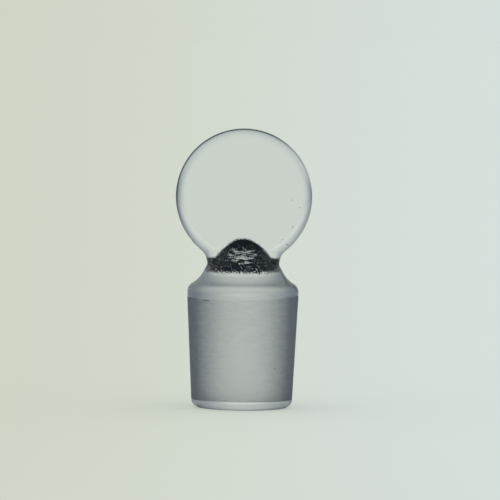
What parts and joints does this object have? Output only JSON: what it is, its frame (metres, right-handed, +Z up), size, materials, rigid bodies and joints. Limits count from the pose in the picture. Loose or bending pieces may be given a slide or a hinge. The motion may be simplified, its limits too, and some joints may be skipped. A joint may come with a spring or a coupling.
{
  "type": "glass stopper",
  "caption": "Solid clear glass stopper with a flat round thumb disc, waisted conical neck and frosted 1:10 ground taper plug that seals a flask or bottle neck.",
  "frame": {"origin": "centre of the flat foot, on the axis of the taper", "axes": "+Z up the taper's axis towards the disc, X across the disc's face, Y through the disc's thickness with the front face at -Y"},
  "size_m": [0.0196, 0.016, 0.0402],
  "materials": {
    "glass": "clear pressed glass, ground matt on the taper"
  },
  "bodies": {
    "root": {"stopper": "glass"}
  },
  "joints": []
}
